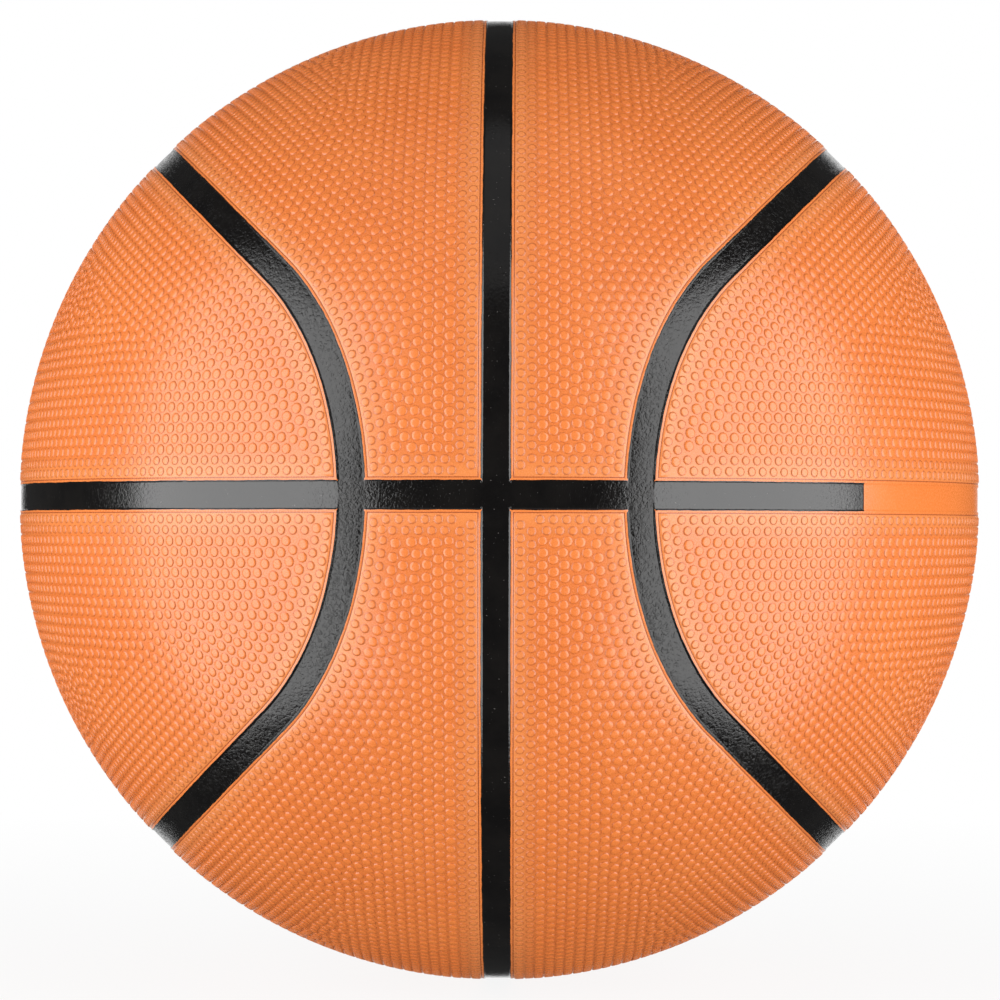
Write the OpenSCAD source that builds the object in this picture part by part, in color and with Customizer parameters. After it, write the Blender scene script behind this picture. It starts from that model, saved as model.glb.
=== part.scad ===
// Moulded rubber basketball, size 7: a wound, air-filled ball with eight cover panels.
// The origin is the centre of the ball. +Z points up through the valve, +X to the right and
// -Y to the front, where the upright channel crosses the level one.

/* [Ball] */
// Diameter over the pebbles of the cover
ball_d = 242; // [180:1:250]

/* [Cover] */
// Thickness of a cover panel, from its bonded face to the tops of its pebbles
cover_t = 1.3; // [1.0:0.1:2.5]
// Width of a channel at its mouth, between two panels
channel_w = 7.2; // [6.0:0.1:9.0]
// Width of one sloped side of a channel
channel_side_w = 0.8; // [0.3:0.1:1.2]
// Depth of a channel below the tops of the pebbles
channel_depth = 0.3; // [0.2:0.1:0.9]
// Thickness of the black ink on the floor of a channel
ink_t = 0.1; // [0.05:0.05:0.15]

/* [Pattern] */
// Angle of a loop's two long sides above and below the level channel, in degrees
loop_tilt = 45.4; // [40:0.2:50]
// Angle from the front crossing to the near end of a loop, in degrees
loop_waist = 15.3; // [12:0.1:20]
// Angle from the front crossing to the square end of the ink on the right, in degrees
ink_end = 44.2; // [35:0.2:70]

/* [Layers under the cover] */
// Thickness of the centre rubber that the cover is cured on
carcass_t = 0.6; // [0.4:0.1:1.5]
// Thickness of the nylon thread wound round the bladder
winding_t = 0.4; // [0.3:0.1:1.0]
// Thickness of the air-tight bladder
bladder_t = 0.8; // [0.6:0.1:2.0]

/* [Valve] */
// Diameter of the valve's neck, which ends flush with the channel floor
neck_d = 5; // [4.6:0.1:5.2]
// Gap all round the neck where it passes the layers of the wall
neck_gap = 0.1; // [0.05:0.05:0.3]
// Diameter of the flange bonded to the inside of the bladder
flange_d = 28; // [20:1:40]
// Thickness of the flange
flange_t = 1.2; // [0.8:0.1:2.0]
// Diameter of the valve's body inside the ball
body_d = 9.6; // [8.6:0.1:12.0]
// Length of the body inwards from the inner face of the bladder
body_l = 13; // [11.0:0.5:18.0]
// Diameter of the self-sealing plug
plug_d = 3.6; // [3.0:0.1:3.8]
// Gap all round the plug in its housing
plug_gap = 0.05; // [0.02:0.01:0.1]
// Diameter of the collar that locks the plug in its housing
collar_d = 6.0; // [5.0:0.1:6.6]
// Length of the collar
collar_l = 2.0; // [1.0:0.1:3.0]
// Distance from the inner face of the bladder down to the collar
collar_drop = 3.0; // [2.0:0.1:5.0]
// Depth of the plug's top face below the top of the neck
plug_sink = 0.3; // [0.1:0.1:1.0]
// Diameter of the hole that takes the inflating needle
needle_d = 1.8; // [1.4:0.1:2.0]
// Length of the needle hole below its funnel
needle_l = 9; // [6.0:0.5:11.0]
// Width of the funnel round the mouth of the needle hole
funnel_w = 0.4; // [0.2:0.1:0.5]
// Rubber left closed under the needle hole, which the needle parts and which seals behind it
seal_t = 3; // [1.5:0.5:4.0]

/* [Hidden] */
$fn = 240;

// Radii of the layers, from outside to inside
ball_r = ball_d / 2;
carcass_r = ball_r - cover_t;
winding_r = carcass_r - carcass_t;
bladder_r = winding_r - winding_t;
air_r = bladder_r - bladder_t;

// A channel's floor and the face of the ink on it
floor_r = ball_r - channel_depth;
ink_r = floor_r + ink_t;

// How far the cutting shapes run past what they cut
overrun = 2;
reach = ball_r + overrun;

// A loop is four arcs that meet without a corner. The long sides are arcs of great circles,
// tilted up and down from the level channel. The near and far ends are arcs of small circles,
// which touch both sides and cross the level channel at loop_waist from the crossing.
end_radius = atan2(sin(loop_tilt) * sin(loop_waist), 1 - sin(loop_tilt) * cos(loop_waist));
end_axis = loop_waist + end_radius;
end_sweep = atan2(cos(loop_tilt), sin(loop_tilt) * cos(end_axis));
side_sweep = atan2(cos(end_axis), sin(end_axis) * cos(loop_tilt));
// Step in a channel's edge where a loop's end meets its long side: the edges of the two would
// otherwise touch without crossing, which leaves no clean corner
loop_step = 0.02;
step_angle = loop_step / ball_r * 180 / PI;
// How far the ink of a loop's ends runs on inside the ink of its long sides
ink_lap = 0.5;
lap_angle = ink_lap / (ball_r * sin(end_radius)) * 180 / PI;
// Distance of a great circle from its own axis
great = 90;
// Turn of the spheres about the Y axis, which puts their poles away from every edge that is cut
pole_turn = 135;
loop_pole_turn = 20;

// Colours of the materials
cover_colour = "darkorange";
ink_colour = "black";
carcass_colour = "peru";
winding_colour = "ivory";
bladder_colour = "dimgray";
valve_colour = "darkslategray";
plug_colour = "gray";

// A point of a channel's cross-section, r out from the centre and w beside the middle line,
// where the channel runs round the Z axis at the angle a from it
function across(a, r, w) = let (b = a + w / r * 180 / PI) [r * sin(b), r * cos(b)];

// Ball about the centre, with its own poles turned
module ball(r, turn = pole_turn) {
    rotate([0, turn, 0])
        sphere(r = r);
}

// Space between two spheres about the centre of the ball
module shell(outer_r, inner_r, turn = pole_turn) {
    difference() {
        ball(outer_r, turn);
        ball(inner_r, turn);
    }
}

// Sector about the Z axis between two angles, past the ball all round
module sector(from, to) {
    rotate([0, 0, from])
        rotate_extrude(angle = to - from)
            translate([0, -reach])
                square([reach, 2 * reach]);
}

// Places its child on the axis of a loop's near end
module on_end_axis() {
    rotate([90, 0, end_axis])
        children();
}

// Places its child on the axis of a loop's upper side
module on_side_axis() {
    rotate([0, -loop_tilt, 0])
        children();
}

// Places its child on the axis of the upright channel
module on_meridian_axis() {
    rotate([0, 90, 0])
        children();
}

// Space of a channel round the Z axis at the angle a from it: its two sloped sides, each drawn
// in by inset, and carried on below the floor and past the pebbles
module channel(a, from = 0, sweep = 360, inset = 0) {
    mouth_half = channel_w / 2 - inset;
    low_r = floor_r - channel_depth;
    low_half = mouth_half - 2 * channel_side_w;
    high_r = ball_r + channel_depth;
    high_half = mouth_half + channel_side_w;
    rotate([0, 0, from])
        rotate_extrude(angle = sweep)
            polygon([
                across(a, low_r, -low_half),
                across(a, high_r, -high_half),
                across(a, high_r, high_half),
                across(a, low_r, low_half)
            ]);
}

// Cutter for a channel in the panels, down to its floor
module groove(a) {
    difference() {
        channel(a);
        ball(floor_r);
    }
}

// Film of ink on the floor of a channel along a great circle
module film(from = 0, sweep = 360) {
    intersection() {
        shell(ink_r, floor_r);
        channel(great, from, sweep);
    }
}

// Solid cone at the angle a from the axis of a loop's near end
module end_cone(a) {
    on_end_axis()
        cylinder(h = reach, r1 = 0, r2 = reach * tan(a));
}

// Space in front of the plane in which a loop's near end meets its upper side
module before_side() {
    on_end_axis()
        sector(180 - end_sweep, 360 - end_sweep);
}

// Its child and its mirror image front to back
module front_and_back() {
    children();
    mirror([0, 1, 0])
        children();
}

// Keeps what lies between the near and far ends of a loop's upper side
module between_ends() {
    difference() {
        children();
        front_and_back()
            before_side();
    }
}

// Hole through the wall for the valve's neck
module neck_hole() {
    cylinder(h = reach, d = neck_d + 2 * neck_gap);
}

// Upper right panel inside the loop: a half-moon between the loop and the level channel.
// Its middle lies along the loop's upper side, and its tips along the loop's ends.
module side_panel() {
    color(cover_colour)
        union() {
            difference() {
                between_ends()
                    intersection() {
                        shell(ball_r, carcass_r);
                        rotate([90, 0, 0])
                            sector(0, loop_tilt);
                    }
                on_side_axis()
                    groove(great);
                groove(great);
            }
            front_and_back()
                side_tip();
        }
}

// Front tip of that panel, inside the loop's near end
module side_tip() {
    edge = end_radius - step_angle;
    difference() {
        intersection() {
            shell(ball_r, carcass_r);
            end_cone(edge);
            on_end_axis()
                sector(180 - end_sweep, 180);
        }
        on_end_axis()
            groove(edge);
        groove(great);
    }
}

// Upper right panel outside the loop, before the valve's hole is cut: it runs over the top
// from the front crossing to the back one, and is narrow at both
module waist_panel() {
    color(cover_colour)
        union() {
            difference() {
                between_ends()
                    intersection() {
                        shell(ball_r, carcass_r);
                        rotate([90, 0, 0])
                            sector(loop_tilt, 90);
                    }
                on_side_axis()
                    groove(great);
                on_meridian_axis()
                    groove(great);
            }
            front_and_back()
                waist_tip();
        }
}

// Front tip of that panel, between the loop's near end and the crossing
module waist_tip() {
    edge = end_radius + step_angle;
    difference() {
        intersection() {
            shell(ball_r, carcass_r);
            rotate([0, 0, -90])
                sector(0, 180);
            on_end_axis()
                sector(180 - end_sweep, 180);
        }
        end_cone(edge);
        on_end_axis()
            groove(edge);
        groove(great);
        on_meridian_axis()
            groove(great);
    }
}

// Ink on the level channel between two angles from the front towards the right,
// up to the channels that it meets
module equator_ink(from, to) {
    color(ink_colour)
        difference() {
            film(from - 90, to - from);
            on_meridian_axis()
                channel(great);
            front_and_back()
                on_end_axis()
                    channel(end_radius, 180 - end_sweep, 2 * end_sweep);
        }
}

// Air-tight bladder, blown tight against the winding
module bladder() {
    color(bladder_colour)
        difference() {
            shell(bladder_r, air_r);
            neck_hole();
        }
}

// Nylon thread wound round the bladder in every direction, as one layer
module winding() {
    color(winding_colour)
        difference() {
            shell(winding_r, bladder_r);
            neck_hole();
        }
}

// Centre rubber, the closed skin that the cover is cured on
module carcass() {
    color(carcass_colour)
        difference() {
            shell(carcass_r, winding_r);
            neck_hole();
        }
}

// Rubber housing: a neck through the wall, a curved flange against the bladder and a body inside,
// with a bore and a lock groove for the plug
module valve_housing() {
    color(valve_colour)
        difference() {
            union() {
                intersection() {
                    shell(air_r, air_r - flange_t);
                    cylinder(h = reach, d = flange_d);
                }
                translate([0, 0, air_r - body_l])
                    cylinder(h = body_l - flange_t / 2, d = body_d);
                translate([0, 0, air_r - flange_t])
                    cylinder(h = floor_r - air_r + flange_t, d = neck_d);
            }
            cylinder(h = reach, d = plug_d + 2 * plug_gap);
            translate([0, 0, air_r - collar_drop - collar_l - plug_gap])
                cylinder(h = collar_l + 2 * plug_gap, d = collar_d + 2 * plug_gap);
        }
}

// Self-sealing plug with its lock collar, the funnel and the blind hole for the needle
module valve_plug() {
    top = floor_r - plug_sink;
    plug_l = funnel_w + needle_l + seal_t;
    color(plug_colour)
        difference() {
            union() {
                translate([0, 0, top - plug_l])
                    cylinder(h = plug_l, d = plug_d);
                translate([0, 0, air_r - collar_drop - collar_l])
                    cylinder(h = collar_l, d = collar_d);
            }
            translate([0, 0, top - funnel_w - needle_l])
                cylinder(h = needle_l + overrun, d = needle_d);
            translate([0, 0, top - funnel_w])
                cylinder(h = funnel_w, d1 = needle_d, d2 = needle_d + 2 * funnel_w);
        }
}

// The cover's eight panels are one side panel and one waist panel, each mirrored four ways.
// The two waist panels that meet at the top share the hole for the valve's neck.
module panel_waist_upper_right() {
    difference() {
        waist_panel();
        neck_hole();
    }
}
module panel_waist_upper_left() mirror([1, 0, 0]) panel_waist_upper_right();
module panel_waist_lower_right() mirror([0, 0, 1]) waist_panel();
module panel_waist_lower_left() rotate([0, 180, 0]) waist_panel();
module panel_side_upper_right() side_panel();
module panel_side_upper_left() mirror([1, 0, 0]) side_panel();
module panel_side_lower_right() mirror([0, 0, 1]) side_panel();
module panel_side_lower_left() rotate([0, 180, 0]) side_panel();

// The ink: one ring, two loops, and the stretches of the level channel between them.
// On the right the level channel is inked only from the loop to two square ends.
module ink_meridian() {
    color(ink_colour)
        difference() {
            on_meridian_axis()
                film();
            neck_hole();
        }
}
module ink_loop_right() {
    half_sweep = end_sweep + lap_angle;
    color(ink_colour)
        intersection() {
            shell(ink_r, floor_r, loop_pole_turn);
            union() {
                front_and_back()
                    on_end_axis()
                        channel(end_radius, 180 - half_sweep, 2 * half_sweep, loop_step);
                for (tilt = [-loop_tilt, loop_tilt])
                    rotate([0, tilt, 0])
                        channel(great, -side_sweep, 2 * side_sweep);
            }
        }
}
module ink_loop_left() mirror([1, 0, 0]) ink_loop_right();
module ink_equator_front_right() equator_ink(0, loop_waist);
module ink_equator_front_left() mirror([1, 0, 0]) ink_equator_front_right();
module ink_equator_back_right() mirror([0, 1, 0]) ink_equator_front_right();
module ink_equator_back_left() rotate([0, 0, 180]) ink_equator_front_right();
module ink_equator_left() mirror([1, 0, 0]) equator_ink(loop_waist, 180 - loop_waist);
module ink_stub_front() equator_ink(loop_waist, ink_end);
module ink_stub_back() mirror([0, 1, 0]) ink_stub_front();

bladder();
winding();
carcass();
valve_housing();
valve_plug();
panel_waist_upper_right();
panel_waist_upper_left();
panel_waist_lower_right();
panel_waist_lower_left();
panel_side_upper_right();
panel_side_upper_left();
panel_side_lower_right();
panel_side_lower_left();
ink_meridian();
ink_loop_right();
ink_loop_left();
ink_equator_front_right();
ink_equator_front_left();
ink_equator_back_right();
ink_equator_back_left();
ink_equator_left();
ink_stub_front();
ink_stub_back();
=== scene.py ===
# A moulded rubber basketball, dressed from its bladder outwards. The CAD frame's own axes hold:
# the ball's centre is the origin, the valve is at the top, and the front crossing faces -Y.
import math

import bpy
import numpy as np
from mathutils import Matrix, Vector
from mathutils.kdtree import KDTree


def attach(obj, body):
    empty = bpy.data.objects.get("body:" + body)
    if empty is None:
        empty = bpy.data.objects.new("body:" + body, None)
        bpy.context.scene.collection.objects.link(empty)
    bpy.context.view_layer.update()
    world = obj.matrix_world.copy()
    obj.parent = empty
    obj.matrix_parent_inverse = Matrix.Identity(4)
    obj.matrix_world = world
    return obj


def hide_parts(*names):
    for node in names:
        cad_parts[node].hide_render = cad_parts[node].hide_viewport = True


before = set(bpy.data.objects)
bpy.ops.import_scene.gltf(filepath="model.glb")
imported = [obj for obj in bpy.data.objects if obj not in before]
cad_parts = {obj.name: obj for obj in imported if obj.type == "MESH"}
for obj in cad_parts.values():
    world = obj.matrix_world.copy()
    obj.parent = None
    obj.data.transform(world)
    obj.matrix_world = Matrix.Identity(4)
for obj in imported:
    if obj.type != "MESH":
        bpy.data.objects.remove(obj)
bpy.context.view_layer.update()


# ---------------------------------------------------------------------------------------------
# Bladder: the air-tight bag of butyl rubber, moulded in one piece. It is matt black, with a
# little talc left in its grain that kept it from sticking in the mould.

def add(tree, kind, values=None, **settings):
    """A new node in a tree, with its settings, and values for its inputs by name or number."""
    made = tree.nodes.new(kind)
    for setting, value in settings.items():
        setattr(made, setting, value)
    for socket, value in (values or {}).items():
        made.inputs[socket].default_value = value
    return made


def new_group(name, inputs, outputs):
    """An empty node group, and its input and output nodes."""
    group = bpy.data.node_groups.new(name, "ShaderNodeTree")
    for side, sockets in (("INPUT", inputs), ("OUTPUT", outputs)):
        for label, kind in sockets:
            group.interface.new_socket(label, in_out=side, socket_type="NodeSocket" + kind)
    return group, group.nodes.new("NodeGroupInput"), group.nodes.new("NodeGroupOutput")


def make_rubber_grain():
    """Two tones of rubber in soft blotches, with a fine grain in roughness and height."""
    group, given, out = new_group(
        "rubber_grain",
        [("Vector", "Vector"), ("Tone", "Color"), ("Second Tone", "Color"),
         ("Blotch Scale", "Float"), ("Grain Scale", "Float"),
         ("Smoothest", "Float"), ("Roughest", "Float")],
        [("Color", "Color"), ("Roughness", "Float"), ("Height", "Float")],
    )
    blotch = add(group, "ShaderNodeTexNoise", {"Detail": 3.0, "Roughness": 0.6})
    spread = add(group, "ShaderNodeMapRange", {"From Min": 0.35, "From Max": 0.65})
    tones = add(group, "ShaderNodeMix", data_type="RGBA")
    grain = add(group, "ShaderNodeTexNoise", {"Detail": 4.0, "Roughness": 0.6})
    gloss = add(group, "ShaderNodeMapRange", {"From Min": 0.3, "From Max": 0.7})
    link = group.links.new
    link(given.outputs["Vector"], blotch.inputs["Vector"])
    link(given.outputs["Blotch Scale"], blotch.inputs["Scale"])
    link(given.outputs["Vector"], grain.inputs["Vector"])
    link(given.outputs["Grain Scale"], grain.inputs["Scale"])
    link(blotch.outputs["Fac"], spread.inputs["Value"])
    link(spread.outputs["Result"], tones.inputs["Factor"])
    link(given.outputs["Tone"], tones.inputs["A"])
    link(given.outputs["Second Tone"], tones.inputs["B"])
    link(grain.outputs["Fac"], gloss.inputs["Value"])
    link(given.outputs["Smoothest"], gloss.inputs["To Min"])
    link(given.outputs["Roughest"], gloss.inputs["To Max"])
    link(tones.outputs["Result"], out.inputs["Color"])
    link(gloss.outputs["Result"], out.inputs["Roughness"])
    link(grain.outputs["Fac"], out.inputs["Height"])
    return group


rubber_grain = make_rubber_grain()


def new_finish(name):
    """A new material, its node tree, its shader and the place of each point on the ball."""
    finish = bpy.data.materials.new(name)
    finish.use_nodes = True
    tree = finish.node_tree
    where = add(tree, "ShaderNodeTexCoord").outputs["Object"]
    return finish, tree, tree.nodes["Principled BSDF"], where


def grained(tree, where, tone, second_tone, blotch_scale, grain_scale, smoothest, roughest):
    """The grain group in a material, with that material's own values."""
    look = add(tree, "ShaderNodeGroup", {
        "Tone": (*tone, 1.0), "Second Tone": (*second_tone, 1.0), "Blotch Scale": blotch_scale,
        "Grain Scale": grain_scale, "Smoothest": smoothest, "Roughest": roughest,
    }, node_tree=rubber_grain)
    tree.links.new(where, look.inputs["Vector"])
    return look


def bump_by(tree, shader, height, relief):
    """Bumps a material's face by a node's height. relief is what a height of 1 is in metres."""
    bump = add(tree, "ShaderNodeBump", {"Strength": 1.0, "Distance": relief})
    tree.links.new(height, bump.inputs["Height"])
    tree.links.new(bump.outputs["Normal"], shader.inputs["Normal"])


def grained_rubber(name, relief, **values):
    """A plain rubber with the grain group's colour, roughness and height."""
    finish, tree, shader, where = new_finish(name)
    look = grained(tree, where, **values)
    tree.links.new(look.outputs["Color"], shader.inputs["Base Color"])
    tree.links.new(look.outputs["Roughness"], shader.inputs["Roughness"])
    bump_by(tree, shader, look.outputs["Height"], relief)
    return finish


def coat(node, finish):
    """Gives a CAD node that stays in the scene its finish."""
    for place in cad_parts[node].material_slots:
        place.material = finish


coat("bladder", grained_rubber(
    "bladder_rubber", tone=(0.018, 0.018, 0.019), second_tone=(0.06, 0.06, 0.058),
    blotch_scale=45.0, grain_scale=1600.0, smoothest=0.5, roughest=0.75, relief=0.00003))


# ---------------------------------------------------------------------------------------------
# Winding: nylon thread wound round the bladder in every direction, and cemented into one layer.
# Three layers of bands that cross each other draw the thread.

def maths(tree, operation, *values):
    """A Math node's result, from numbers and other nodes' sockets."""
    made = add(tree, "ShaderNodeMath", operation=operation)
    for place, value in enumerate(values):
        if isinstance(value, bpy.types.NodeSocket):
            tree.links.new(value, made.inputs[place])
        else:
            made.inputs[place].default_value = value
    return made.outputs["Value"]


def wound_thread():
    """Pale thread, with brown cement between its turns."""
    finish, tree, shader, where = new_finish("wound_thread")
    top = None
    for turn in ((0.3, 0.2, 0.0), (1.3, 0.4, 1.0), (0.5, 1.4, 2.1)):
        turned = add(tree, "ShaderNodeMapping", {"Rotation": turn})
        thread = add(tree, "ShaderNodeTexWave", {
            "Scale": 420.0, "Distortion": 1.5, "Detail": 2.0, "Detail Scale": 0.3})
        tree.links.new(where, turned.inputs["Vector"])
        tree.links.new(turned.outputs["Vector"], thread.inputs["Vector"])
        layer = thread.outputs["Fac"]
        top = layer if top is None else maths(tree, "MAXIMUM", top, layer)
    tones = add(tree, "ShaderNodeMix", {
        "A": (0.42, 0.36, 0.24, 1.0), "B": (0.80, 0.77, 0.68, 1.0)}, data_type="RGBA")
    shader.inputs["Roughness"].default_value = 0.55
    tree.links.new(top, tones.inputs["Factor"])
    tree.links.new(tones.outputs["Result"], shader.inputs["Base Color"])
    bump_by(tree, shader, top, 0.0002)
    return finish


coat("winding", wound_thread())


# ---------------------------------------------------------------------------------------------
# Carcass: the centre rubber, a closed brown skin cured round the winding. The cover is cured
# on to it, so its face is left rough.

coat("carcass", grained_rubber(
    "centre_rubber", tone=(0.16, 0.075, 0.03), second_tone=(0.26, 0.13, 0.055),
    blotch_scale=80.0, grain_scale=900.0, smoothest=0.6, roughest=0.85, relief=0.00008))


# ---------------------------------------------------------------------------------------------
# Valve: a black rubber housing bonded into the wall, and the softer grey plug that its collar
# locks in it. Only their round tops show, in the channel at the top of the ball.

coat("valve_housing", grained_rubber(
    "valve_rubber", tone=(0.014, 0.014, 0.015), second_tone=(0.03, 0.03, 0.032),
    blotch_scale=300.0, grain_scale=2500.0, smoothest=0.35, roughest=0.5, relief=0.00002))
coat("valve_plug", grained_rubber(
    "plug_rubber", tone=(0.05, 0.05, 0.05), second_tone=(0.09, 0.09, 0.088),
    blotch_scale=300.0, grain_scale=3000.0, smoothest=0.4, roughest=0.6, relief=0.00002))


# ---------------------------------------------------------------------------------------------
# Cover panels: eight panels of pebbled orange rubber, moulded and cured on to the centre rubber
# edge to edge under the middle of the channels. Along a channel each has a smooth margin with a
# crease and a low lip. Its outline is arcs on the ball, so its points are laid by rule.

mm = 0.001
ball_r = 121.0 * mm
cover_wall = 1.3 * mm
pebble_h = 0.24 * mm
pebble_clearance = 0.01 * mm
skin_r = ball_r - pebble_h - pebble_clearance
inner_r = ball_r - cover_wall

# The same three angles as in the CAD source, and the four that follow from them
loop_tilt = math.radians(45.4)
loop_waist = math.radians(15.3)
ink_end = math.radians(44.2)
end_radius = math.atan2(
    math.sin(loop_tilt) * math.sin(loop_waist), 1 - math.sin(loop_tilt) * math.cos(loop_waist))
end_axis = loop_waist + end_radius
end_sweep = math.atan2(math.cos(loop_tilt), math.sin(loop_tilt) * math.cos(end_axis))
side_sweep = math.atan2(math.cos(end_axis), math.sin(end_axis) * math.cos(loop_tilt))

# The poles of the right loop's front end and upper side, and where a turn about each starts
end_pole = np.array((math.sin(end_axis), -math.cos(end_axis), 0.0))
end_start = np.array((-math.cos(end_axis), -math.sin(end_axis), 0.0))
side_pole = np.array((-math.sin(loop_tilt), 0.0, math.cos(loop_tilt)))
side_start = np.array((math.cos(loop_tilt), 0.0, math.sin(loop_tilt)))

# A panel's face beside a channel: distance from the channel's middle, and depth below the margin
channel_face = np.array([
    (0.0, 0.22), (1.2, 0.22), (2.3, 0.22), (2.62, 0.225), (2.76, 0.24), (2.9, 0.23),
    (3.18, 0.02), (3.3, 0.0), (3.74, 0.0), (3.84, 0.09), (3.94, 0.09), (4.04, 0.0), (4.6, 0.0),
]) * mm


def channel_depth(w):
    """Depth of the panel's face below its margin at the distance w from a channel's middle."""
    return np.interp(np.abs(w), channel_face[:, 0], channel_face[:, 1])


def spin_point(pole, start, a, turn):
    """Unit vectors at the angle a from pole, turned about it from start."""
    a, turn = np.broadcast_arrays(a, turn)
    a, turn = a[..., None], turn[..., None]
    across = np.cross(pole, start)
    return np.cos(a) * pole + np.sin(a) * (np.cos(turn) * start + np.sin(turn) * across)


def near_end(a, turn):
    """The front end of the right loop: a small circle, turned upwards from the level channel."""
    return spin_point(end_pole, end_start, a, -np.asarray(turn))


def long_side(w, turn):
    """The upper side of the right loop, w outside its middle line, turned frontwards from +X."""
    return spin_point(side_pole, side_start, math.pi / 2 - w / ball_r, -np.asarray(turn))


def level(w, azimuth):
    """The level channel, w above its middle line, from the front towards the right."""
    e = w / ball_r
    x, y = np.cos(e) * np.sin(azimuth), -np.cos(e) * np.cos(azimuth)
    return np.stack([x, y, np.sin(e) + 0 * azimuth], -1)


def upright(w, turn):
    """The upright channel, w right of its middle line, from the front over the top."""
    e = w / ball_r
    y, z = -np.cos(e) * np.cos(turn), np.cos(e) * np.sin(turn)
    return np.stack([np.sin(e) + 0 * turn, y, z], -1)


def to_back(points):
    """The same points on the back of the ball, in the opposite order."""
    return (points * (1, -1, 1))[::-1]


def outer_edge(w, end_cells, side_cells, outside):
    """A line along the upper half of the right loop, w outside its middle line or inside it:
    front end, long side, back end. Inside, it runs up to a w of loop_reach."""
    a = end_radius + (w if outside else -w) / ball_r
    low = math.asin(math.sin(w / ball_r) / math.sin(a))
    front = near_end(a, np.linspace(low, end_sweep, end_cells + 1))
    side = long_side(w if outside else -w, np.linspace(side_sweep, -side_sweep, side_cells + 1))
    return np.concatenate([front[:-1], side, to_back(front)[1:]])


loop_reach = end_radius * ball_r / 2


def azimuth_of(point):
    """A point's angle round the ball, from the front towards the right."""
    return math.atan2(point[0], -point[1])


def side_panel_edges(w):
    """The four edges of a grid over the upper right panel inside the loop, w in from its seams."""
    end_cells, side_cells = 24, 120
    side_stop = end_cells + side_cells
    loop = outer_edge(w, end_cells, side_cells, False)
    start = azimuth_of(loop[0])
    bottom = level(w, np.linspace(start, math.pi - start, side_cells + 1))
    top = loop[end_cells:side_stop + 1]
    return bottom, top, loop[:end_cells + 1], loop[:side_stop - 1:-1]


def waist_panel_edges(w):
    """The four edges of a grid over the upper right panel outside the loop."""
    end_cells, side_cells, waist_cells = 27, 104, 24
    loop = outer_edge(w, end_cells, side_cells, True)
    start = math.asin(math.tan(w / ball_r))
    top = upright(w, np.linspace(start, math.pi - start, len(loop)))
    front = level(w, np.linspace(azimuth_of(top[0]), azimuth_of(loop[0]), waist_cells + 1))
    return top, loop, front, to_back(front)[::-1]


def fill_grid(near, far, left, right):
    """Points over the ball between four edges: a blend of the edges, then evened out."""
    evening_rounds = 300
    u = np.linspace(0, 1, len(near))[:, None, None]
    v = np.linspace(0, 1, len(left))[None, :, None]
    grid = (1 - v) * near[:, None] + v * far[:, None] + (1 - u) * left[None] + u * right[None]
    grid -= ((1 - u) * (1 - v) * near[0] + u * (1 - v) * near[-1]
             + (1 - u) * v * far[0] + u * v * far[-1])
    for _ in range(evening_rounds):
        sides = grid[:-2, 1:-1] + grid[2:, 1:-1] + grid[1:-1, :-2] + grid[1:-1, 2:]
        grid[1:-1, 1:-1] = sides / 4
        grid /= np.linalg.norm(grid, axis=-1, keepdims=True)
    return grid


def rim_of(grid_shape):
    """Places in a grid that run once round its rim, in order."""
    n, m = grid_shape[0] - 1, grid_shape[1] - 1
    along = [(i, 0) for i in range(n)] + [(n, j) for j in range(m)]
    return along + [(i, m) for i in range(n, 0, -1)] + [(0, j) for j in range(m, 0, -1)]


def only(piece):
    """Selects one piece and nothing else."""
    bpy.ops.object.select_all(action="DESELECT")
    piece.select_set(True)
    bpy.context.view_layer.objects.active = piece


def panel_skin(name, edges):
    """A closed panel: rings of points from the seam to the margin, a grid inside them, a wall
    down to the centre rubber and a grid on it."""
    rings = []
    for w in channel_face[:, 0]:
        near, far, left, right = edges(w)
        ring = np.concatenate([near[:-1], right[:-1], far[:0:-1], left[:0:-1]])
        rings.append(ring * (skin_r - channel_depth(w)))
    outer = fill_grid(*edges(channel_face[-1, 0])) * skin_r
    inner = fill_grid(*edges(0.0)) * inner_r
    rim = rim_of(outer.shape)
    count = len(rim)
    points = [p for ring in rings for p in ring]
    index = np.full(outer.shape[:2], -1)
    index_in = np.full(inner.shape[:2], -1)
    for k, place in enumerate(rim):
        index[place] = (len(rings) - 1) * count + k
    for grid, numbers in ((outer, index), (inner, index_in)):
        for place in np.argwhere(numbers < 0):
            numbers[tuple(place)] = len(points)
            points.append(grid[tuple(place)])
    faces = []
    for k in range(len(rings) - 1):
        for i in range(count):
            j = (i + 1) % count
            faces.append((k * count + i, k * count + j, (k + 1) * count + j, (k + 1) * count + i))
    for i in range(count):
        j = (i + 1) % count
        faces.append((int(index_in[rim[i]]), int(index_in[rim[j]]), j, i))
    for numbers, step in ((index, 1), (index_in, -1)):
        for i in range(numbers.shape[0] - 1):
            for j in range(numbers.shape[1] - 1):
                corner = [
                    numbers[i, j], numbers[i + 1, j], numbers[i + 1, j + 1], numbers[i, j + 1]]
                faces.append(tuple(int(c) for c in corner[::step]))
    mesh = bpy.data.meshes.new(name)
    mesh.from_pydata(points, [], faces)
    skin = bpy.data.objects.new(name, mesh)
    bpy.context.collection.objects.link(skin)
    only(skin)
    bpy.ops.object.mode_set(mode="EDIT")
    bpy.ops.mesh.select_all(action="SELECT")
    bpy.ops.mesh.normals_make_consistent(inside=False)
    bpy.ops.object.mode_set(mode="OBJECT")
    return skin


def circle_distance(points, axis):
    """How far points lie from the great circle square to an axis: 0 for X and 2 for Z."""
    return np.arcsin(np.clip(points[:, axis], -1, 1)) * ball_r


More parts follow.
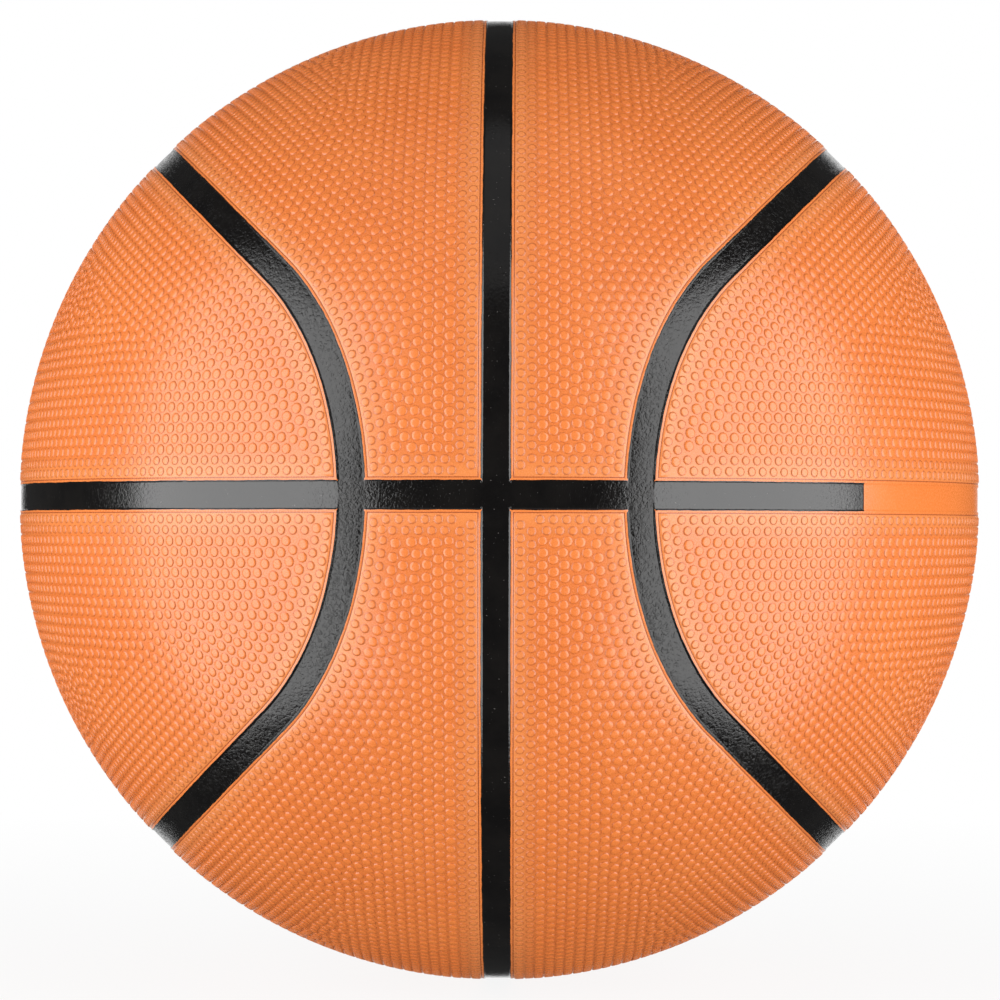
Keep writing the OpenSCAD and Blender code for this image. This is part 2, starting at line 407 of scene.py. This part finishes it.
def loop_distance(points):
    """How far points on the upper right quarter lie outside the loop's middle line. Inside it
    the distance is negative."""
    p = points * (1, 0, 1) + np.abs(points[:, 1:2]) * (0, -1, 0)
    at_end = np.arctan2(p[:, 2], p @ end_start) < end_sweep
    to_end = np.arccos(np.clip(p @ end_pole, -1, 1)) - end_radius
    to_side = math.pi / 2 - np.arccos(np.clip(p @ side_pole, -1, 1))
    return np.where(at_end, to_end, to_side) * ball_r


def side_panel_depth(points):
    """How far points lie inside the panel inside the loop, from its nearest seam."""
    return np.minimum(circle_distance(points, 2), -loop_distance(points))


def waist_panel_depth(points):
    """How far points lie inside the panel outside the loop, from its nearest seam."""
    to_circles = np.minimum(circle_distance(points, 2), circle_distance(points, 0))
    return np.minimum(to_circles, loop_distance(points))


# The pebbles stand in rows beside the seams and fill the panel evenly inside them. These are
# their spacing, the first row's distance from a seam, and the step from row to row.
pebble_gap = 2.8 * mm
edge_row = 5.4 * mm
row_step = 2.45 * mm
loose_gap = 1.04 * pebble_gap
seam_tolerance = 0.02 * mm


def evenly(line, gap, shift):
    """Points along a line on the ball, gap apart, the first one shift gaps in."""
    steps = np.linalg.norm(np.diff(line, axis=0), axis=1) * ball_r
    run = np.concatenate([[0], np.cumsum(steps)])
    count = max(int(run[-1] / gap), 1)
    wanted = (np.arange(count) + shift) * run[-1] / count
    found = np.stack([np.interp(wanted, run, line[:, k]) for k in range(3)], -1)
    return found / np.linalg.norm(found, axis=1, keepdims=True)


def pebble_rows(lines, depth):
    """Centres of pebbles in rows along the seams, trimmed where another seam is nearer, and how
    many of them stand in the two outer rows. Each line comes with how far in it can run."""
    closest = 0.78 * pebble_gap
    outer_rows = 2
    placed, fixed, row = np.zeros((0, 3)), 0, 0
    while True:
        w = edge_row + row * row_step
        shift = 0.25 + 0.5 * (row % 2)
        rows = []
        for line, reach in lines:
            if w <= reach:
                spots = evenly(line(w), loose_gap, shift)
                rows.append(spots[depth(spots) > w - seam_tolerance])
        if not any(len(spots) for spots in rows):
            return placed, fixed
        for spots in rows:
            if len(placed) and len(spots):
                gap = np.sqrt(np.maximum(2 - 2 * spots @ placed.T, 0)).min(1) * ball_r
                spots = spots[gap > closest]
            placed = np.concatenate([placed, spots])
        row += 1
        if row == outer_rows:
            fixed = len(placed)


def tree_of(points):
    """A search tree over points."""
    tree = KDTree(len(points))
    for k, p in enumerate(points):
        tree.insert(p, k)
    tree.balance()
    return tree


def fill_holes(placed, depth, random):
    """The pebbles, and more of them where there is room, the roomiest places first."""
    closest = 0.8 * pebble_gap
    trials = 90000
    spots = np.abs(random.normal(size=(trials, 3)))
    spots[:, 1] *= random.choice((-1, 1), len(spots))
    spots /= np.linalg.norm(spots, axis=1, keepdims=True)
    spots = spots[depth(spots) > edge_row - seam_tolerance]
    tree = tree_of(placed)
    room = np.array([tree.find(p)[2] for p in spots]) * ball_r
    new = []
    for k in np.argsort(-room):
        if room[k] < closest:
            break
        if all(np.linalg.norm(spots[k] - q) * ball_r > closest for q in new):
            new.append(spots[k])
    return np.concatenate([placed, np.array(new)]) if new else placed


def spread_out(points, fixed, depth):
    """Moves crowded points apart, a little at a time, and keeps them inside their panel."""
    rounds, neighbours, share, least_distance = 14, 6, 0.3, 1e-6
    nearest_seam = edge_row + row_step * 0.6
    for _ in range(rounds):
        tree = tree_of(points)
        push = np.zeros_like(points)
        for k in range(fixed, len(points)):
            p = points[k]
            for q, _, d in tree.find_n(p, neighbours + 1)[1:]:
                short = loose_gap / ball_r - d
                if short > 0:
                    push[k] += (p - np.array(q)) / max(d, least_distance) * short * share
        moved = points + push
        moved /= np.linalg.norm(moved, axis=1, keepdims=True)
        held = depth(moved) < nearest_seam
        moved[held] = points[held]
        points = np.concatenate([points[:fixed], moved[fixed:]])
    return points


def pebble_places(lines, depth, random):
    """Centres of a panel's pebbles, their radii, and how many stand in the two outer rows. Only
    the others shift till they are even. A pebble is as wide as its neighbours leave it room."""
    fill_rounds, neighbours = 3, 3
    share_of_mean, share_of_nearest, variation = 0.455, 0.54, (0.95, 1.02)
    smallest, largest, largest_in_outer_rows = 0.98 * mm, 1.3 * mm, 1.12 * mm
    placed, fixed = pebble_rows(lines, depth)
    for _ in range(fill_rounds):
        placed = spread_out(fill_holes(placed, depth, random), fixed, depth)
    tree = tree_of(placed)
    around = [[d for _, _, d in tree.find_n(p, neighbours + 1)[1:]] for p in placed]
    mean_gap = np.array([np.mean(gaps) for gaps in around]) * ball_r
    nearest = np.array([gaps[0] for gaps in around]) * ball_r
    room = np.minimum(share_of_mean * mean_gap, share_of_nearest * nearest)
    radii = np.clip(room, smallest, largest)
    radii *= random.uniform(*variation, len(radii))
    radii[:fixed] = np.minimum(radii[:fixed], largest_in_outer_rows)
    return placed, radii, fixed


def model_pebble(shoulder, shoulder_h, top, top_h):
    """One pebble of radius and height 1: a side that starts a little below the skin and rises to
    the shoulder, a sloping shoulder, and a low crown inside it. Returns its points and faces."""
    sides, sunk = 10, 0.15
    flat_share = math.cos(math.pi / sides)
    bpy.ops.object.select_all(action="DESELECT")
    bpy.ops.mesh.primitive_circle_add(
        vertices=sides, radius=1.0, fill_type="NGON", location=(0, 0, -sunk))
    bpy.ops.object.mode_set(mode="EDIT")
    bpy.ops.mesh.select_all(action="SELECT")
    bpy.ops.mesh.inset(thickness=(1 - shoulder) * flat_share, use_boundary=True)
    bpy.ops.transform.translate(value=(0, 0, sunk + shoulder_h))
    bpy.ops.mesh.inset(thickness=(shoulder - top) * flat_share, use_boundary=True)
    bpy.ops.transform.translate(value=(0, 0, top_h - shoulder_h))
    bpy.ops.mesh.poke(offset=1 - top_h)
    bpy.ops.object.mode_set(mode="OBJECT")
    dome = bpy.context.object
    dome.data.transform(dome.matrix_world)
    points = np.array([v.co[:] for v in dome.data.vertices])
    faces = [tuple(f.vertices) for f in dome.data.polygons]
    if dome.data.polygons[0].normal.z < 0:
        faces = [f[::-1] for f in faces]
    bpy.data.objects.remove(dome)
    return points, faces


round_pebble = model_pebble(shoulder=0.84, shoulder_h=0.74, top=0.5, top_h=0.95)
flat_pebble = model_pebble(shoulder=0.86, shoulder_h=0.8, top=0.5, top_h=0.96)


def pebble_coat(name, places, radii, fixed, random):
    """All of a panel's pebbles as one mesh: a modelled one copied to every place, flat ones to
    the first so many places, which are the two rows beside the channels."""
    full_height_from, least_height, outer_row_height = 1.15 * mm, 0.8, 0.7
    side = np.cross(places, random.normal(size=places.shape))
    side /= np.linalg.norm(side, axis=1, keepdims=True)
    other = np.cross(places, side)
    heights = pebble_h * np.clip(radii / full_height_from, least_height, 1.0)
    heights[:fixed] = outer_row_height * pebble_h
    points, loops, sizes = [], [], []
    kinds = ((flat_pebble, slice(0, fixed)), (round_pebble, slice(fixed, None)))
    for (model, faces), some in kinds:
        x, y, z = model.T
        first = sum(len(p) for p in points)
        points.append((
            side[some, None] * (radii[some, None] * x)[..., None]
            + other[some, None] * (radii[some, None] * y)[..., None]
            + places[some, None] * (skin_r + heights[some, None] * z)[..., None]
        ).reshape(-1, 3))
        count = len(places[some])
        flat = np.array([i for f in faces for i in f])
        loops.append((flat[None] + first + (np.arange(count) * len(model))[:, None]).ravel())
        sizes += [len(f) for f in faces] * count
    points, loops = np.concatenate(points), np.concatenate(loops)
    mesh = bpy.data.meshes.new(name)
    mesh.vertices.add(len(points))
    mesh.vertices.foreach_set("co", points.ravel())
    mesh.loops.add(len(loops))
    mesh.loops.foreach_set("vertex_index", loops)
    mesh.polygons.add(len(sizes))
    mesh.polygons.foreach_set("loop_start", np.concatenate([[0], np.cumsum(sizes)[:-1]]))
    mesh.update(calc_edges=True)
    pebbles = bpy.data.objects.new(name, mesh)
    bpy.context.collection.objects.link(pebbles)
    return pebbles


def cut_valve_hole(piece):
    """Cuts the round hole for the valve's neck through a piece at the top of the ball."""
    bpy.ops.object.select_all(action="DESELECT")
    bpy.ops.mesh.primitive_cylinder_add(
        vertices=48, radius=2.6 * mm, depth=8 * mm, location=(0, 0, ball_r))
    drill = bpy.context.object
    only(piece)
    cut = piece.modifiers.new("valve hole", "BOOLEAN")
    cut.object = drill
    cut.operation = "DIFFERENCE"
    bpy.ops.object.modifier_apply(modifier=cut.name)
    bpy.data.objects.remove(drill)


def ramp(tree, value, start, stop, top=1.0):
    """From 0 where value is start to top where it is stop."""
    made = add(tree, "ShaderNodeMapRange", {"From Min": start, "From Max": stop, "To Max": top})
    tree.links.new(value, made.inputs["Value"])
    return made.outputs["Result"]


def blended(tree, share, colour, other):
    """A mix of a node's colour and a plain one."""
    made = add(tree, "ShaderNodeMix", {"B": (*other, 1.0)}, data_type="RGBA")
    tree.links.new(share, made.inputs["Factor"])
    tree.links.new(colour, made.inputs["A"])
    return made.outputs["Result"]


def cover_rubber():
    """Orange cover rubber, with a painted sheen that pales the smooth margins, and painted shade
    that darkens the valleys between the pebbles, their feet and the creases beside the channels."""
    # The first colour is a painted sheen for the margins, the second a painted shade for the
    # hollows
    sheen_tone, shade_tone = (0.86, 0.36, 0.13), (0.42, 0.08, 0.018)
    finish, tree, shader, where = new_finish("cover_rubber")
    look = grained(
        tree, where, tone=(0.85, 0.216, 0.042), second_tone=(0.88, 0.237, 0.049),
        blotch_scale=35.0, grain_scale=2600.0, smoothest=0.22, roughest=0.32)
    out_from = add(tree, "ShaderNodeVectorMath", operation="LENGTH")
    tree.links.new(where, out_from.inputs[0])
    height = out_from.outputs["Value"]
    from_seam = add(tree, "ShaderNodeAttribute", attribute_name="from_seam").outputs["Fac"]
    # Painted shade: the low ground between the pebbles, a ring at each pebble's foot and the crease
    # beside each channel are darkened in colour
    low = ramp(tree, height, skin_r + 0.14 * mm, skin_r + 0.02 * mm, 0.12)
    among_pebbles = ramp(tree, from_seam, 5.5 * mm, 8.5 * mm)
    valley_shade = maths(tree, "MULTIPLY", low, among_pebbles)
    at_foot = maths(tree, "COMPARE", height, skin_r + 0.08 * mm, 0.07 * mm)
    foot_shade = maths(tree, "MULTIPLY", at_foot, 0.5)
    in_crease = maths(tree, "COMPARE", from_seam, 3.89 * mm, 0.12 * mm)
    crease_shade = maths(tree, "MULTIPLY", in_crease, 0.9)
    painted_shade = maths(tree, "MAXIMUM", maths(tree, "MAXIMUM", valley_shade, foot_shade), crease_shade)
    # Painted sheen: a band of margin beside each channel is paled in colour, as a soft shine would
    # pale it
    near_seam = ramp(tree, from_seam, 10.0 * mm, 5.0 * mm, 0.3)
    out_of_channel = ramp(tree, from_seam, 3.3 * mm, 4.1 * mm)
    margin = maths(tree, "MULTIPLY", near_seam, out_of_channel)
    painted_sheen = blended(tree, margin, look.outputs["Color"], sheen_tone)
    shaded = blended(tree, painted_shade, painted_sheen, shade_tone)
    tree.links.new(shaded, shader.inputs["Base Color"])
    shader.inputs["Specular IOR Level"].default_value = 0.9
    tree.links.new(look.outputs["Roughness"], shader.inputs["Roughness"])
    bump_by(tree, shader, look.outputs["Height"], 0.000012)
    return finish


cover = cover_rubber()

line_points = 2500
level_line_start = 0.05


def loop_line(outside):
    """A fine line along the loop, to set a row of pebbles on, for any distance from it."""
    return lambda w: outer_edge(w, line_points // 5, 3 * line_points // 5, outside)


def level_line(w):
    """The same along the level channel, from just past the front to just short of the back."""
    return level(w, np.linspace(level_line_start, math.pi - level_line_start, line_points))


def upright_line(w):
    """The same along the upright channel, over the top of the ball."""
    return upright(w, np.linspace(0.0, math.pi, line_points))


def place_panel(base, name, flips):
    """A copy of a modelled panel, mirrored as flips says, in place of its CAD panel."""
    mesh = base.data.copy()
    if flips != (1, 1, 1):
        mesh.transform(Matrix.Diagonal((*flips, 1)))
        if flips[0] * flips[1] * flips[2] < 0:
            mesh.flip_normals()
    panel = bpy.data.objects.new("pebbled_" + name, mesh)
    bpy.context.collection.objects.link(panel)
    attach(panel, "root")
    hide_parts("panel_" + name)


def finish_panel(skin, pebbles, depth):
    """Joins a panel's skin and its pebbles, shades them and gives them the cover rubber, which
    reads how far each point lies from the nearest seam."""
    only(skin)
    pebbles.select_set(True)
    bpy.ops.object.join()
    bpy.ops.object.shade_smooth_by_angle(angle=math.radians(55))
    spots = np.empty(3 * len(skin.data.vertices))
    skin.data.vertices.foreach_get("co", spots)
    spots = spots.reshape(-1, 3)
    from_seam = skin.data.attributes.new("from_seam", "FLOAT", "POINT")
    from_seam.data.foreach_set("value", depth(spots / np.linalg.norm(spots, axis=1, keepdims=True)))
    skin.data.materials.clear()
    skin.data.materials.append(cover)
    return skin


random = np.random.default_rng(7)
side_lines = [(loop_line(False), loop_reach), (level_line, math.inf)]
places, radii, fixed = pebble_places(side_lines, side_panel_depth, random)
side_base = finish_panel(
    panel_skin("side_base", side_panel_edges),
    pebble_coat("side_pebbles", places, radii, fixed, random), side_panel_depth)
for name, flips in (("side_upper_right", (1, 1, 1)), ("side_upper_left", (-1, 1, 1)),
                    ("side_lower_right", (1, 1, -1)), ("side_lower_left", (-1, 1, -1))):
    place_panel(side_base, name, flips)
bpy.data.objects.remove(side_base)

# The two upper panels outside the loops have the valve's hole, and the two lower ones have none
waist_lines = [(loop_line(True), math.inf), (upright_line, math.inf), (level_line, math.inf)]
places, radii, fixed = pebble_places(waist_lines, waist_panel_depth, random)
whole_base = panel_skin("waist_base", waist_panel_edges)
drilled_base = whole_base.copy()
drilled_base.data = whole_base.data.copy()
bpy.context.collection.objects.link(drilled_base)
cut_valve_hole(drilled_base)
for base, names in (
        (drilled_base, (("waist_upper_right", (1, 1, 1)), ("waist_upper_left", (-1, 1, 1)))),
        (whole_base, (("waist_lower_right", (1, 1, -1)), ("waist_lower_left", (-1, 1, -1))))):
    pebbles = pebble_coat("waist_pebbles", places, radii, fixed, np.random.default_rng(8))
    dressed = finish_panel(base, pebbles, waist_panel_depth)
    for name, flips in names:
        place_panel(dressed, name, flips)
    bpy.data.objects.remove(dressed)


# ---------------------------------------------------------------------------------------------
# Channel paint: glossy black rubber paint, run into the channels by a wheel after the cover is
# cured. It dries with a fine wrinkle and an edge that wanders a little on the lip.

paint_half = 3.28 * mm
paint_thickness = 0.12 * mm

# Half of the paint's section: distance from the middle, where 1 is the paint's edge, and height
# above the floor in mm. It levels out, and its rim rolls down into the rubber.
half_section = [
    (0.0, 0.035), (0.4, 0.035), (0.8, 0.035), (0.86, 0.035), (0.9, 0.035), (0.93, 0.035),
    (0.965, 0.035), (0.985, 0.03), (1.0, 0.01), (1.02, -0.02), (1.06, -0.12)]
paint_rows = np.array([(-x, z) for x, z in half_section[:0:-1]] + half_section)

# The same at a square end: distance from the end and height, in mm
end_distances, end_heights = (0, 0.25, 0.35, 0.5), (-0.12, -0.01, 0.03, 0.034)

# The waves that the paint's edge is made of: length and size, in mm
edge_waves = ((31, 0.03), (13, 0.025), (6.1, 0.02), (3.3, 0.015), (1.9, 0.02))


def wander(run, seed):
    """How far the paint's edge wanders along a run, in metres."""
    pick = np.random.default_rng(seed)
    total = 0
    for length, size in edge_waves:
        phase = pick.uniform(0, 6.28)
        total = total + size * mm * np.sin(run / (length * mm) * 2 * math.pi + phase)
    return total


def floor_depth(points):
    """Depth of the cover's face at points all over the ball, by the nearest channel's middle."""
    p = np.abs(points).reshape(-1, 3)
    to_circles = np.minimum(circle_distance(p, 0), circle_distance(p, 2))
    nearest = np.minimum(to_circles, np.abs(loop_distance(p)))
    return channel_depth(nearest).reshape(points.shape[:-1])


def paint_strip(name, node, place, run, closed, seed, paint):
    """A strip of paint: a grid laid on its channel, and then given its thickness inwards.
    place(w) gives unit vectors at the distances w from the middle line, a row for each of run."""
    cells, rows = len(run) - 1, len(paint_rows)
    bpy.ops.object.select_all(action="DESELECT")
    bpy.ops.mesh.primitive_grid_add(x_subdivisions=rows - 1, y_subdivisions=cells, size=1)
    strip = bpy.context.object
    strip.name = name
    strip.data.name = name
    low, high = paint_half + wander(run, seed), paint_half + wander(run, seed + 1)
    if closed:
        low[-1], high[-1] = low[0], high[0]
    share, lift = paint_rows[:, 0], paint_rows[:, 1] * mm
    w = np.where(share < 0, share * low[:, None], share * high[:, None])
    lift = np.broadcast_to(lift, w.shape)
    if not closed:
        from_end = np.minimum(run - run[0], run[-1] - run)
        end_lift = np.interp(from_end / mm, end_distances, end_heights) * mm
        lift = np.minimum(lift, end_lift[:, None])
    points = place(w)
    points = points * (skin_r - floor_depth(points) + lift)[..., None]
    strip.data.vertices.foreach_set("co", points.ravel())
    strip.data.update()
    middle = strip.data.polygons[len(strip.data.polygons) // 2]
    if middle.normal.dot(middle.center) < 0:
        strip.data.flip_normals()
    only(strip)
    if closed:
        bpy.ops.object.mode_set(mode="EDIT")
        bpy.ops.mesh.select_all(action="SELECT")
        bpy.ops.mesh.remove_doubles(threshold=0.01 * mm)
        bpy.ops.object.mode_set(mode="OBJECT")
    depth = strip.modifiers.new("thickness", "SOLIDIFY")
    depth.thickness = paint_thickness
    depth.offset = -1
    bpy.ops.object.modifier_apply(modifier=depth.name)
    bpy.ops.object.shade_smooth_by_angle(angle=math.radians(60))
    strip.data.materials.clear()
    strip.data.materials.append(paint)
    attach(strip, "root")
    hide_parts(node)
    return strip


def channel_paint(name, sheen, wrinkle_scale, relief, dullest):
    """Black paint with a leathery wrinkle, relief metres high and as much duller on its crests
    as dullest says, stronger in some patches than in others, and a few specks of dust."""
    finish, tree, shader, where = new_finish(name)
    look = grained(
        tree, where, tone=(0.0035, 0.003, 0.003), second_tone=(0.007, 0.006, 0.0055),
        blotch_scale=120.0, grain_scale=1500.0, smoothest=0.05, roughest=0.12)
    dust = add(tree, "ShaderNodeTexNoise", {"Scale": 2700.0, "Detail": 0.0})
    specks = add(tree, "ShaderNodeMapRange", {"From Min": 0.83, "From Max": 0.87, "To Max": 0.3})
    speckled = blended(tree, specks.outputs["Result"], look.outputs["Color"], (0.35, 0.33, 0.31))
    wrinkle = add(tree, "ShaderNodeTexNoise", {
        "Scale": wrinkle_scale, "Detail": 2.0, "Roughness": 0.5, "Distortion": 0.8})
    patches = add(tree, "ShaderNodeTexNoise", {"Scale": 28.0, "Detail": 1.0})
    for pattern in (dust, wrinkle, patches):
        tree.links.new(where, pattern.inputs["Vector"])
    tree.links.new(dust.outputs["Fac"], specks.inputs["Value"])
    leathery = maths(tree, "ADD", ramp(tree, patches.outputs["Fac"], 0.4, 0.62, 0.6), 0.6)
    crests = ramp(tree, wrinkle.outputs["Fac"], 0.42, 0.62, dullest)
    dull = maths(tree, "MULTIPLY", crests, leathery)
    roughness = maths(tree, "ADD", look.outputs["Roughness"], dull)
    tree.links.new(speckled, shader.inputs["Base Color"])
    tree.links.new(roughness, shader.inputs["Roughness"])
    shader.inputs["Specular IOR Level"].default_value = sheen
    bump_by(tree, shader, maths(tree, "MULTIPLY", wrinkle.outputs["Fac"], leathery), relief)
    return finish


smooth_paint = channel_paint(
    "channel_paint", sheen=1.0, wrinkle_scale=1600.0, relief=0.00006, dullest=0.05)
wrinkled_paint = channel_paint(
    "wrinkled_channel_paint", sheen=0.7, wrinkle_scale=1250.0, relief=0.00011, dullest=0.24)

# The ring in the upright channel, with the hole for the valve
ring_count = 609
turns = np.linspace(0, 2 * math.pi, ring_count)
ring = paint_strip(
    "paint_meridian", "ink_meridian", lambda w: upright(w, turns[:, None]), turns * ball_r,
    closed=True, seed=11, paint=smooth_paint)
cut_valve_hole(ring)

# The two loops. The wheel turns as it paints them, so their paint dries more wrinkled.
end_count, side_count = 97, 183
end_turns = np.linspace(-end_sweep, end_sweep, end_count)
side_turns = np.linspace(side_sweep, -side_sweep, side_count)


def loop_place(w):
    """The right loop's points: front end, upper side, back end, lower side, and the first again.
    Each side leaves out its first and last point, which are the ends' own."""
    stops = np.cumsum([end_count, side_count - 2, end_count])
    front_w, top_w, back_w, low_w = np.split(w[:-1], stops)
    front = near_end(end_radius + front_w / ball_r, end_turns[:, None])
    top = long_side(top_w, side_turns[1:-1, None])
    back = near_end(end_radius + back_w / ball_r, end_turns[::-1, None]) * (1, -1, 1)
    low = long_side(low_w, side_turns[::-1][1:-1, None]) * (1, 1, -1)
    return np.concatenate([front, top, back, low, front[:1]])


end_run = np.linspace(0, 2 * end_sweep, end_count) * math.sin(end_radius) * ball_r
side_run = (side_sweep - side_turns) * ball_r
loop_run = np.concatenate([
    end_run, end_run[-1] + side_run[1:-1], end_run[-1] + side_run[-1] + end_run,
    2 * end_run[-1] + side_run[-1] + side_run[1:-1], [2 * end_run[-1] + 2 * side_run[-1]]])
for name, side, seed in (("right", 1, 21), ("left", -1, 31)):
    paint_strip(
        "paint_loop_" + name, "ink_loop_" + name, lambda w: loop_place(w) * (side, 1, 1),
        loop_run, closed=True, seed=seed, paint=wrinkled_paint)

# The level channel's stretches, from azimuth to azimuth, towards the right of the front or the
# left. Each starts a little inside the paint that it meets, and has finer rows at its ends.
overlap = 0.7 * mm
lap = (paint_half - overlap) / ball_r
tips = np.array([0, 0.12, 0.25, 0.35, 0.5, 0.8]) * mm
first_row, row_gap = 1.6 * mm, 1.25 * mm
for name, start, stop, flips, seed in (
        ("equator_front_right", lap, loop_waist - lap, (1, 1, 1), 41),
        ("equator_front_left", lap, loop_waist - lap, (-1, 1, 1), 43),
        ("equator_back_right", lap, loop_waist - lap, (1, -1, 1), 45),
        ("equator_back_left", lap, loop_waist - lap, (-1, -1, 1), 47),
        ("equator_left", loop_waist + lap, math.pi - loop_waist - lap, (-1, 1, 1), 49),
        ("stub_front", loop_waist + lap, ink_end, (1, 1, 1), 51),
        ("stub_back", loop_waist + lap, ink_end, (1, -1, 1), 53)):
    length = (stop - start) * ball_r
    rows = np.linspace(first_row, length - first_row, int(length / row_gap))
    run = np.concatenate([tips, rows, length - tips[::-1]])
    azimuths = start + run / ball_r
    paint_strip(
        "paint_" + name, "ink_" + name, lambda w: level(w, azimuths[:, None]) * flips, run,
        closed=False, seed=seed, paint=smooth_paint)


# ---------------------------------------------------------------------------------------------
# Studio: a white floor and backdrop under a pale sky, a tall softbox on each side of the camera,
# a weak one above, and one behind the ball that lights only its back. The camera stands seven
# ball radii away, level with the ball, as in the photograph.

bpy.ops.object.select_all(action="DESELECT")
bpy.ops.mesh.primitive_plane_add(size=8.0, location=(0, 0, -ball_r))
floor = bpy.context.object
floor.name = "studio_floor"
floor.visible_diffuse = False
floor.visible_glossy = False
floor.visible_shadow = False
bpy.ops.mesh.primitive_plane_add(size=1.25, location=(0, 1.6, 0), rotation=(math.pi / 2, 0, 0))
backdrop = bpy.context.object
bpy.ops.object.transform_apply()
backdrop.name = "studio_backdrop"
backdrop.visible_diffuse = False
backdrop.visible_shadow = False

white = (1, 1, 1, 1)


def studio_white():
    """A floor that the camera sees as plain white half a metre from the ball. Next to it, a
    tenth of what the camera sees is the lit floor, so the ball's shadow stays."""
    finish, tree, shader, where = new_finish("studio_white")
    shader.inputs["Base Color"].default_value = (0.75, 0.75, 0.75, 1.0)
    shader.inputs["Roughness"].default_value = 0.9
    glow = add(tree, "ShaderNodeEmission", {"Color": white, "Strength": 1.0})
    ray = add(tree, "ShaderNodeLightPath")
    away = add(tree, "ShaderNodeVectorMath", operation="LENGTH")
    fade = add(tree, "ShaderNodeMapRange", {
        "From Min": 0.08, "From Max": 0.5, "To Min": 0.9, "To Max": 1.0})
    mix = add(tree, "ShaderNodeMixShader")
    link = tree.links.new
    link(where, away.inputs[0])
    link(away.outputs["Value"], fade.inputs["Value"])
    share = maths(tree, "MULTIPLY", ray.outputs["Is Camera Ray"], fade.outputs["Result"])
    link(share, mix.inputs["Fac"])
    link(shader.outputs["BSDF"], mix.inputs[1])
    link(glow.outputs["Emission"], mix.inputs[2])
    link(mix.outputs["Shader"], tree.nodes["Material Output"].inputs["Surface"])
    return finish


floor.data.materials.append(studio_white())


def backdrop_white():
    """A backdrop lit plain white, which the camera and the shine of the paint both see."""
    finish, tree, _, _ = new_finish("backdrop_white")
    glow = add(tree, "ShaderNodeEmission", {"Color": white, "Strength": 1.0})
    tree.links.new(glow.outputs["Emission"], tree.nodes["Material Output"].inputs["Surface"])
    return finish


backdrop.data.materials.append(backdrop_white())

# The sky is plain white to the camera. It lights the ball weakly and hardly shines in it.
sky_on_faces, sky_in_shine = 0.25, 0.04
world = bpy.data.worlds.new("studio")
bpy.context.scene.world = world
world.use_nodes = True
sky = world.node_tree
sky_light = sky.nodes["Background"]
sky_light.inputs["Color"].default_value = white
sky_seen = add(sky, "ShaderNodeBackground", {"Color": white, "Strength": 1.0})
sky_ray = add(sky, "ShaderNodeLightPath")
sky_mix = add(sky, "ShaderNodeMixShader")
sky_strength = maths(
    sky, "MULTIPLY_ADD", sky_ray.outputs["Is Diffuse Ray"], sky_on_faces, sky_in_shine)
sky.links.new(sky_strength, sky_light.inputs["Strength"])
sky.links.new(sky_ray.outputs["Is Camera Ray"], sky_mix.inputs["Fac"])
sky.links.new(sky_light.outputs["Background"], sky_mix.inputs[1])
sky.links.new(sky_seen.outputs["Background"], sky_mix.inputs[2])
sky.links.new(sky_mix.outputs["Shader"], sky.nodes["World Output"].inputs["Surface"])


def softbox(name, azimuth, elevation, distance, width, height, power):
    """A soft lamp that faces the ball. Its azimuth runs from the front towards the right."""
    lamp = bpy.data.lights.new(name, "AREA")
    lamp.shape = "RECTANGLE"
    lamp.size, lamp.size_y = width, height
    lamp.energy = power
    box = bpy.data.objects.new(name, lamp)
    bpy.context.collection.objects.link(box)
    a, e = math.radians(azimuth), math.radians(elevation)
    away = Vector((math.sin(a) * math.cos(e), -math.cos(a) * math.cos(e), math.sin(e)))
    box.location = away * distance
    box.rotation_euler = (-away).to_track_quat("-Z", "Y").to_euler()
    return box


for side, azimuth in (("left", -59.5), ("right", 59.5)):
    softbox(
        "softbox_" + side, azimuth, elevation=0, distance=1.2, width=1.38, height=2.2, power=24)
softbox("softbox_top", 0, elevation=70, distance=1.5, width=1.5, height=1.3, power=1)
back_box = softbox("softbox_back", 180, elevation=0, distance=2.0, width=1.5, height=1.5, power=18)
back_box.visible_camera = False
back_box.visible_glossy = False

# The camera's distance, its turns in degrees and its lens, as fitted to the photograph
camera_distance = 7 * ball_r
roll, tilt, pan = 0.15, -0.50, -0.38
focal_pixels, photo_pixels, sensor_mm = 3326.4, 1000, 36
camera = bpy.data.objects.new("camera", bpy.data.cameras.new("camera"))
bpy.context.collection.objects.link(camera)
bpy.context.scene.camera = camera
turn = (
    Matrix.Rotation(math.radians(roll), 3, "Y")
    @ Matrix.Rotation(math.radians(tilt), 3, "X")
    @ Matrix.Rotation(math.radians(pan), 3, "Z")
).transposed()
camera.location = turn @ Vector((0, -camera_distance, 0))
camera.rotation_euler = (turn @ Matrix.Rotation(math.pi / 2, 3, "X")).to_euler()
camera.data.sensor_width = sensor_mm
camera.data.lens = focal_pixels / photo_pixels * sensor_mm
camera.data.shift_x = 0.00056
camera.data.shift_y = -0.00043
camera.data.clip_start = 0.05
camera.data.clip_end = 50

bpy.context.scene.view_settings.view_transform = "Standard"
